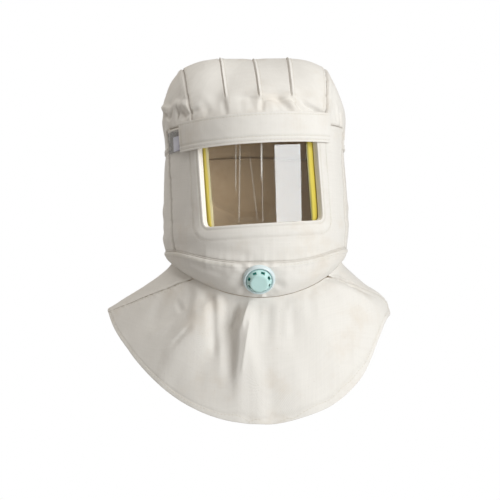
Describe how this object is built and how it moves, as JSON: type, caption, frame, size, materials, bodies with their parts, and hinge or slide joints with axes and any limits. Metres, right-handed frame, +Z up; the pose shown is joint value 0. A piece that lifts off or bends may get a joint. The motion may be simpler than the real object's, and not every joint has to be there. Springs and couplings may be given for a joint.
{
  "type": "sandblasting hood",
  "caption": "Canvas blasting hood with tucked crown, curved window behind a brow strap, round exhaust valve under the chin and a draped shoulder cape.",
  "frame": {"origin": "where the top of the wearer's head meets the inside of the crown", "axes": "+Z up along the wearer, -Y out through the window, +X to the right as seen from the front"},
  "size_m": [0.395, 0.3026, 0.4782],
  "materials": {
    "canvas_pale": "matte",
    "canvas": "matte",
    "clear_lens": "gloss",
    "yellow_film": "satin",
    "clear_film": "gloss",
    "grey_tab": "satin",
    "white_plastic": "satin",
    "teal_plastic": "satin"
  },
  "bodies": {
    "root": {"crown_top": "canvas_pale", "crown_side_left": "canvas", "crown_side_right": "canvas", "front_panel": "canvas_pale", "side_panel_left": "canvas", "side_panel_right": "canvas", "back_panel": "canvas", "chin_band": "canvas", "brow_strap": "canvas_pale", "lens": "clear_lens", "lens_edge_left": "yellow_film", "lens_edge_right": "yellow_film", "film_tab": "clear_film", "pull_tab": "grey_tab", "cape_front": "canvas_pale", "cape_back": "canvas", "valve_collar": "white_plastic", "valve_nut": "white_plastic", "valve_cap": "teal_plastic"}
  },
  "joints": []
}
